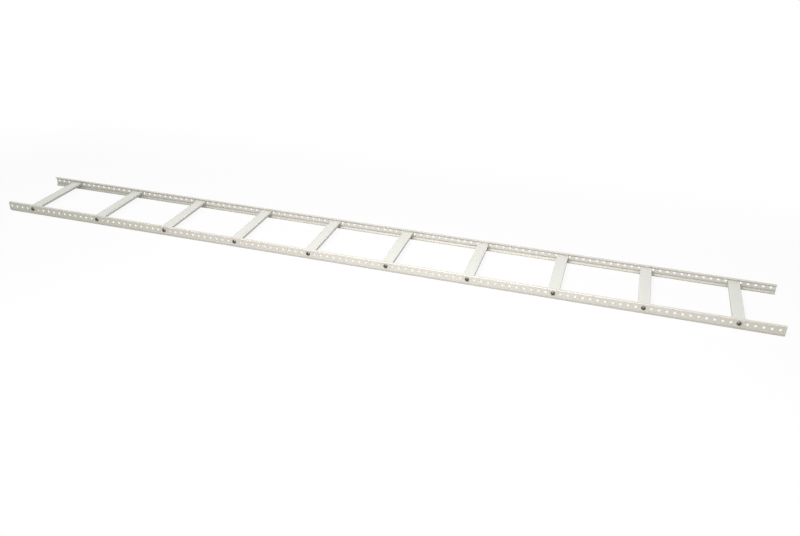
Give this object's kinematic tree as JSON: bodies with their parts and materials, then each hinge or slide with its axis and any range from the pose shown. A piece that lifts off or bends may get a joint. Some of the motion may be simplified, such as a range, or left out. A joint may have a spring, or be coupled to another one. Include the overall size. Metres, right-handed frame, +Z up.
{
  "type": "cable ladder section",
  "caption": "Straight cable ladder: two low side rails with a full row of round holes, joined by flat rungs that are screwed on through the rails.",
  "frame": {"origin": "middle of the ladder's length and width, at the level of the rails' lower lips", "axes": "+X along the rails towards the end with the longer overhang, +Y across from the front rail to the back rail, +Z up out of the side that the cables lie on"},
  "size_m": [2.955, 0.3092, 0.038],
  "materials": {
    "rail": "satin",
    "rung": "satin",
    "screw": "satin"
  },
  "bodies": {
    "root": {"side_rail_front": "rail", "side_rail_back": "rail", "rung_01": "rung", "rung_02": "rung", "rung_03": "rung", "rung_04": "rung", "rung_05": "rung", "rung_06": "rung", "rung_07": "rung", "rung_08": "rung", "rung_09": "rung", "rung_10": "rung", "screw_front_01": "screw", "screw_front_02": "screw", "screw_front_03": "screw", "screw_front_04": "screw", "screw_front_05": "screw", "screw_front_06": "screw", "screw_front_07": "screw", "screw_front_08": "screw", "screw_front_09": "screw", "screw_front_10": "screw", "screw_back_01": "screw", "screw_back_02": "screw", "screw_back_03": "screw", "screw_back_04": "screw", "screw_back_05": "screw", "screw_back_06": "screw", "screw_back_07": "screw", "screw_back_08": "screw", "screw_back_09": "screw", "screw_back_10": "screw"}
  },
  "joints": []
}
